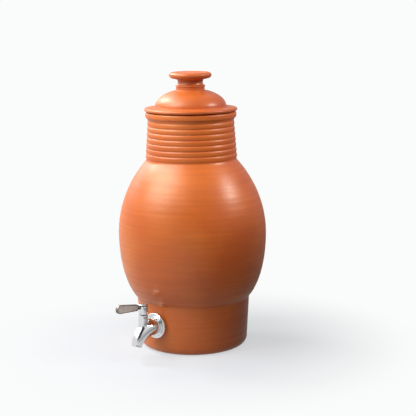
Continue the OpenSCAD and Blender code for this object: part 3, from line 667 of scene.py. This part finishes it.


# ---------------------------------------------------------------- lever
# The lever is cast in one piece: a buffed hub, notched below for the stop lug, and on a short bar an
# upright paddle, sunk on both faces inside a rounded rim. The bar and the paddle have worn dull, and the
# dark brownish tone of the bar and the paddle's rim is painted reflection of the clay pot beside them.
hub_gap, hub_h, hub_edge, hub_corner = 1, 10.8, 0.4, 0.12
hub_z = neck_top_z + hub_gap
hub_top_z = hub_z + hub_h
lever_rise, lever_drop = math.radians(7.4), 1.8
paddle_start, paddle_inner_h, paddle_tip_h, paddle_t = 9.5, 8.2, 11, 4
paddle_rim, paddle_sink, panel_in, rim_slope, tip_gap = 1.1, 0.9, 3.6, 0.1, 0.03
lever_reach = -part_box("lever")[0].y / MM - stem_y
lever_l = paddle_tip_h / 2 + (lever_reach - tip_gap - paddle_tip_h / 2) / math.cos(lever_rise)
notch_r, notch_h, notch_gap, notch_edge, square_half = 4.4, 1.65, 0.35, 0.05, 1.65

# The notch lets the lug through for a quarter turn and a little more, and the hub's angles, 3 degrees
# apart, take in both its edges.
notch_margin = math.degrees(math.asin(notch_gap / chamber_r))
notch_stop = lug_half + notch_margin
notch_start = notch_stop - 90 - 2 * lug_half - 2 * notch_margin
edges = np.array([notch_start, notch_start + notch_edge, notch_stop - notch_edge, notch_stop]) - 90
around = np.unique(np.concatenate([np.arange(3 * math.ceil(edges[0] / 3), edges[0] + 357, 3), edges]))
lift = np.where((around > edges[0] + 0.01) & (around < edges[3] - 0.01), notch_h, 0)
hub_turn = np.radians(around)
square = square_half / np.maximum(np.abs(np.cos(hub_turn)), np.abs(np.sin(hub_turn)))
hub_outline = [
    (square, hub_z), (notch_r, hub_z), (notch_r, hub_z + lift), (stack_r - hub_edge, hub_z + lift),
    (stack_r - hub_corner, hub_z + lift + hub_corner), (stack_r, hub_z + lift + hub_edge),
    (stack_r, hub_top_z - stack_edge), (stack_r - stack_corner, hub_top_z - stack_corner),
    (stack_r - stack_edge, hub_top_z), (square, hub_top_z),
]
hub_x, hub_y = np.cos(hub_turn), np.sin(hub_turn)
hub_grid = np.stack([
    np.stack(np.broadcast_arrays(r * hub_x, r * hub_y - stem_y, z), axis=1) for r, z in hub_outline])


def paddle_loop(inset, steps):
    """The plate's outline drawn in by inset: two round ends of different heights and straight sides."""
    start, end = paddle_start + inset, lever_l - inset
    start_h, end_h = paddle_inner_h - 2 * inset, paddle_tip_h - 2 * inset
    slope = math.degrees(math.asin((end_h - start_h) / 2 / (end - start - start_h / 2 - end_h / 2)))
    tip = arc((end - end_h / 2, 0), end_h / 2, end_h / 2, -90 - slope, 90 + slope, steps)
    root = arc((start + start_h / 2, 0), start_h / 2, start_h / 2, 90 + slope, 270 - slope, steps)
    return np.concatenate([tip, root])


def on_lever(x, y, z):
    """Lays the lever's own x along its length, y up and z to the side, and raises it by lever_rise."""
    along = x * math.cos(lever_rise) - y * math.sin(lever_rise)
    up = x * math.sin(lever_rise) + y * math.cos(lever_rise)
    return np.stack([-z, -stem_y - along, hub_top_z - lever_drop + up], axis=-1)


half_t = paddle_t / 2
panel = half_t - paddle_sink
paddle_section = soften([
    [panel_in, -panel], [paddle_rim, -panel], [paddle_rim - rim_slope, -half_t], [0, -half_t],
    [0, half_t], [paddle_rim - rim_slope, half_t], [paddle_rim, panel], [panel_in, panel],
], step=0.14, width=0.2)
paddle_rows = []
for inset, side in paddle_section:
    loop = paddle_loop(max(inset, 0), 24)
    paddle_rows.append(on_lever(loop[:, 0], loop[:, 1], np.full(len(loop), side)))
paddle_grid = np.stack(paddle_rows)

# The bar's section is a rounded oblong, (sign cos a |cos a|^0.6, sign sin a |sin a|^0.6), that swells
# with the square of the distance from its waist.
bar_start, bar_end, bar_waist, bar_low = 2.6, 10.4, 7.4, 0.8
bar_half_h, bar_half_t, oblong = 2.0, 1.35, 0.6
bar_swell, swell_reach, most_h, most_t = 0.35, 4, 1.4, 1.2
along = np.linspace(bar_start, bar_end, 24)[:, None]
from_waist = along - bar_waist
swell = 1 + bar_swell * (from_waist / 3) ** 2 * (np.abs(from_waist) < swell_reach)
bar_turn = np.linspace(0, 2 * np.pi, 32, endpoint=False)
bar_y = np.sign(np.sin(bar_turn)) * np.abs(np.sin(bar_turn)) ** oblong
bar_z = np.sign(np.cos(bar_turn)) * np.abs(np.cos(bar_turn)) ** oblong
bar_y = -bar_low + bar_half_h * np.minimum(swell, most_h) * bar_y
bar_z = bar_half_t * np.minimum(swell, most_t) * bar_z
bar_grid = on_lever(along + 0 * bar_y, bar_y, bar_z)[:, ::-1]

# Painted reflection: the dark brownish tone of the bar and the paddle's rim stands for the clay pot
# mirrored in them.
worn_steel_painted_reflection = dull_steel("worn_cast_steel_painted_reflection", "#776D69", "#8D827D")
hub = skin("lever_hub", [hub_grid], sharp=35, closed_rows=True)
paddle = skin("lever_paddle", [paddle_grid], sharp=50, capped=True)
bar = skin("lever_bar", [bar_grid], sharp=50, capped=True)
for part in (hub, paddle, bar):
    part.data.materials.append(steel if part is hub else worn_steel_painted_reflection)
    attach(part, "valve")
    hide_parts("lever")

# The sunk panels are paler, as the blasting left them and without the rim's painted reflection: the faces
# that lie deep and look sideways.
paddle.data.materials.append(dull_steel("blasted_cast_steel", "#D2CCC6", "#E4DFDA"))
middles, facings = np.empty(3 * len(paddle.data.polygons)), np.empty(3 * len(paddle.data.polygons))
paddle.data.polygons.foreach_get("center", middles)
paddle.data.polygons.foreach_get("normal", facings)
sunk = (np.abs(middles[::3]) < (panel + 0.1) * MM) & (np.abs(facings[::3]) > 0.8)
paddle.data.polygons.foreach_set("material_index", sunk.astype(np.int32))


# ---------------------------------------------------------------- spring washer and cap screw
# A split spring washer of blackened steel, its near-black tone partly painted shade for the gap
# between hub and cap, lies under a cap screw with a low crown and a satin finish, and holds the lever on
# its square.
washer_in, washer_out, washer_t, split_at, split = 1.7, 5.2, 0.8, 120, 8
washer_grid = sector((washer_in, hub_top_z), (washer_out, hub_top_z + washer_t), 0.07,
    split_at + split / 2, split_at - split / 2 + 360, 90)
spring = skin("split_washer", [washer_grid], sharp=35)
# Blackened steel, and painted shade: its near-black tone also stands for the shade in the gap under the
# cap.
spring.data.materials.append(dull_steel("blackened_spring_steel_painted_shade", "#2B2826", "#3F3C39"))
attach(spring, "valve")
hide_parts("spring_washer")

screw_z = hub_top_z + washer_t
screw_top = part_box("cap_screw")[1].z / MM
screw_r, screw_l = 1.2, 8
cap_in, cap_low, cap_side, cap_round, crown = 0.3, 0.35, 1.3, 0.9, 0.3
cap_outline = soften(np.concatenate([
    [[0, screw_z - screw_l], [screw_r, screw_z - screw_l], [screw_r, screw_z]],
    [[stack_r - cap_in, screw_z], [stack_r, screw_z + cap_low], [stack_r, screw_top - cap_side]],
    arc((stack_r - cap_round, screw_top - crown - cap_round), cap_round, cap_round, 10, 75, 8),
    [[0, screw_top]],
]), step=0.12, width=0.1)
cap_grid = revolve(cap_outline, 96)
cap_grid[..., 1] -= stem_y
cap = skin("domed_cap", [cap_grid], sharp=35)
cap.data.materials.append(polished_steel("satin_stainless_steel", 0.32))
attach(cap, "valve")
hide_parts("cap_screw")


# ---------------------------------------------------------------- floor, room and lamps
# A white sweep under and behind the pot. It takes the pot's soft shadow near the foot, and further
# off it is as bright as the white room, so that no edge shows. To the right it bounces little light and
# mirrors dim: painted shade beside the pot. The room's sizes are in metres.
room_white = colour("#FAFCFB")
floor_half = 6
side_way = (math.cos(camera_side), math.sin(camera_side), 0)
floor_mesh = bpy.data.meshes.new("floor")
corners = [(-1, -1), (1, -1), (1, 1), (-1, 1)]
floor_mesh.from_pydata([(floor_half * x, floor_half * y, 0) for x, y in corners], [], [(0, 1, 2, 3)])
floor = bpy.data.objects.new("floor", floor_mesh)
bpy.context.scene.collection.objects.link(floor)
paper, tree = material("white_paper_sweep")
ray = add(tree, "LightPath")
seen = add(tree, "Math", {"operation": "ADD", "use_clamp": True},
    {0: ray.outputs["Is Camera Ray"], 1: ray.outputs["Is Transmission Ray"]}).outputs[0]
where = add(tree, "TexCoord").outputs["Object"]
away = add(tree, "VectorMath", {"operation": "LENGTH"}, {0: where}).outputs["Value"]
aside = add(tree, "VectorMath", {"operation": "DOT_PRODUCT"}, {0: where, 1: side_way}).outputs["Value"]
smooth = {"interpolation_type": "SMOOTHSTEP"}
far = add(tree, "MapRange", smooth, {"Value": away, "From Min": 0.1, "From Max": 0.32}).outputs[0]
# Painted shade: to the right the floor bounces less light and mirrors dim grey.
right = add(tree, "MapRange", smooth, {"Value": aside, "From Min": -0.08, "From Max": 0.22}).outputs[0]
painted_bounce_shade = add(tree, "MapRange", None, {"Value": right, "To Min": 0.5, "To Max": 0.08}).outputs[0]
plain = add(tree, "BsdfDiffuse", None, {"Color": painted_bounce_shade}).outputs[0]
shaded = add(tree, "BsdfDiffuse", None, {"Color": (0.205, 0.185, 0.22, 1)}).outputs[0]
glow = add(tree, "Emission", None, {"Color": (0.97, 0.99, 1, 1), "Strength": 0.6}).outputs[0]
near = add(tree, "AddShader", None, {0: shaded, 1: glow}).outputs[0]
white = add(tree, "Emission", None, {"Color": room_white, "Strength": 1.0}).outputs[0]
shown = add(tree, "MixShader", None, {0: far, 1: near, 2: white}).outputs[0]
painted_dark_reflection = add(tree, "Emission", None, {"Color": room_white, "Strength": 0.3}).outputs[0]
mirrored = add(tree, "MixShader", None, {0: right, 1: shown, 2: painted_dark_reflection}).outputs[0]
surface = add(tree, "MixShader", None, {0: ray.outputs["Is Glossy Ray"], 1: plain, 2: mirrored}).outputs[0]
surface = add(tree, "MixShader", None, {0: seen, 1: surface, 2: shown}).outputs[0]
add(tree, "OutputMaterial", None, {"Surface": surface})
floor_mesh.materials.append(paper)

# The studio round the pot is white, and brightest high up on the left, with a dark ceiling between the
# soft boxes over the camera and a greyer wall on the right. Only reflections show it: it stays where it
# is when the camera moves.
camera_way = (math.sin(camera_side), -math.cos(camera_side), 0)
room = bpy.data.worlds.new("white_room")
bpy.context.scene.world = room
room.use_nodes = True
tree = room.node_tree
tree.nodes.clear()
way = add(tree, "TexCoord").outputs["Generated"]
sideways = add(tree, "VectorMath", {"operation": "DOT_PRODUCT"}, {0: way, 1: side_way}).outputs["Value"]
towards = add(tree, "VectorMath", {"operation": "DOT_PRODUCT"}, {0: way, 1: camera_way}).outputs["Value"]
height = add(tree, "SeparateXYZ", None, {0: way}).outputs[2]
from_gap = add(tree, "Math", {"operation": "SUBTRACT"}, {0: sideways, 1: 0.05}).outputs[0]
from_gap = add(tree, "Math", {"operation": "ABSOLUTE"}, {0: from_gap}).outputs[0]

# Each share rises smoothly from 0 at its first number to 1 at its second.
gap_across, gap_up, gap_front, on_right, low_down, on_left, off_floor, high_up, at_back = [
    add(tree, "MapRange", smooth, {"Value": value, "From Min": start, "From Max": stop}).outputs[0]
    for value, start, stop in (
        (from_gap, 0.4, 0.2), (height, 0.05, 0.4), (towards, -0.3, 0.1),
        (sideways, 0.0, 0.35), (height, 0.55, 0.3),
        (sideways, -0.12, -0.45), (height, 0.05, 0.25), (height, 0.45, 0.7), (towards, -0.3, -0.8))]
gap_wide, low_right, left_back, left_high = [
    add(tree, "Math", {"operation": "MULTIPLY"}, {0: first, 1: second}).outputs[0]
    for first, second in (
        (gap_across, gap_up), (on_right, low_down), (on_left, off_floor), (on_left, high_up))]
in_gap = add(tree, "Math", {"operation": "MULTIPLY"}, {0: gap_wide, 1: gap_front}).outputs[0]

# The shades are laid over one another: wall and bright wall in front and at the back, then the grey
# wall on the right, then the dark ceiling.
wall, back_wall, bright_wall, grey_wall, ceiling_gap = [
    (shade, shade, shade, 1) for shade in (0.95, 0.7, 3.5, 0.6, 0.035)]
back = add(tree, "Mix", {"data_type": "RGBA"}, {0: left_back, 6: back_wall, 7: bright_wall}).outputs[2]
studio = wall
layers = ((left_high, bright_wall), (at_back, back), (low_right, grey_wall), (in_gap, ceiling_gap))
for share, shade in layers:
    studio = add(tree, "Mix", {"data_type": "RGBA"}, {0: share, 6: studio, 7: shade}).outputs[2]
ray = add(tree, "LightPath")
seen = add(tree, "Math", {"operation": "ADD", "use_clamp": True},
    {0: ray.outputs["Is Camera Ray"], 1: ray.outputs["Is Transmission Ray"]}).outputs[0]
light = add(tree, "Background", None, {"Color": (1, 1, 1, 1), "Strength": 0.08}).outputs[0]
mirrored = add(tree, "Background", None, {"Color": studio, "Strength": 1.0}).outputs[0]
white = add(tree, "Background", None, {"Color": room_white, "Strength": 1.0}).outputs[0]
sky = add(tree, "MixShader", None, {0: ray.outputs["Is Glossy Ray"], 1: light, 2: mirrored}).outputs[0]
sky = add(tree, "MixShader", None, {0: seen, 1: sky, 2: white}).outputs[0]
add(tree, "OutputWorld", None, {"Surface": sky})

pot_middle = 0.19


def lamp(name, azimuth, elevation, distance, size, power, tint):
    """A square soft box of size m and power W. It faces the pot's middle from distance m away, at an
    azimuth round from the tap's side and an elevation in degrees."""
    a, e = math.radians(azimuth), math.radians(elevation)
    way = Vector((math.sin(a) * math.cos(e), -math.cos(a) * math.cos(e), math.sin(e)))
    data = bpy.data.lights.new(name, "AREA")
    data.shape, data.size, data.energy, data.color = "SQUARE", size, power, colour(tint)[:3]
    made = bpy.data.objects.new(name, data)
    made.location = Vector((0, 0, pot_middle)) + way * distance
    made.rotation_euler = way.to_track_quat("Z", "Y").to_euler()
    bpy.context.scene.collection.objects.link(made)
    return made


lamp("left_box", -27, 44, 1.0, 0.7, 12.8, "#ECFFF3")
lamp("back_box", -86, 42, 1.3, 0.4, 12, "#ECFFF3")
lamp("right_box", 119, 33, 1.2, 0.25, 9, "#FFF6EA")
ceiling = lamp("ceiling", 24, 52, 1.3, 0.9, 6.8, "#FFFFFF")
ceiling.visible_glossy = False

# A black card stands to the right, outside the picture, and keeps the right box's light off the drum.
card_half, card_h, card_away, card_turn = 0.3, 0.37, 0.4, math.radians(119)
corners = [(-card_half, 0), (card_half, 0), (card_half, card_h), (-card_half, card_h)]
card_mesh = bpy.data.meshes.new("black_card")
card_mesh.from_pydata([(x, 0, z) for x, z in corners], [], [(0, 1, 2, 3)])
card = bpy.data.objects.new("black_card", card_mesh)
card.location = (card_away * math.sin(card_turn), -card_away * math.cos(card_turn), 0)
card.rotation_euler = (0, 0, card_turn)
card.visible_camera = False
card.visible_glossy = False
bpy.context.scene.collection.objects.link(card)
black, tree = material("black_card")
shader = add(tree, "BsdfDiffuse", None, {"Color": (0.02, 0.02, 0.02, 1)})
add(tree, "OutputMaterial", None, {"Surface": shader.outputs[0]})
card_mesh.materials.append(black)

# The polished pieces throw no glints on the clay beside them.
for part in (flange, spout, neck, hub, cap):
    part.visible_diffuse = False
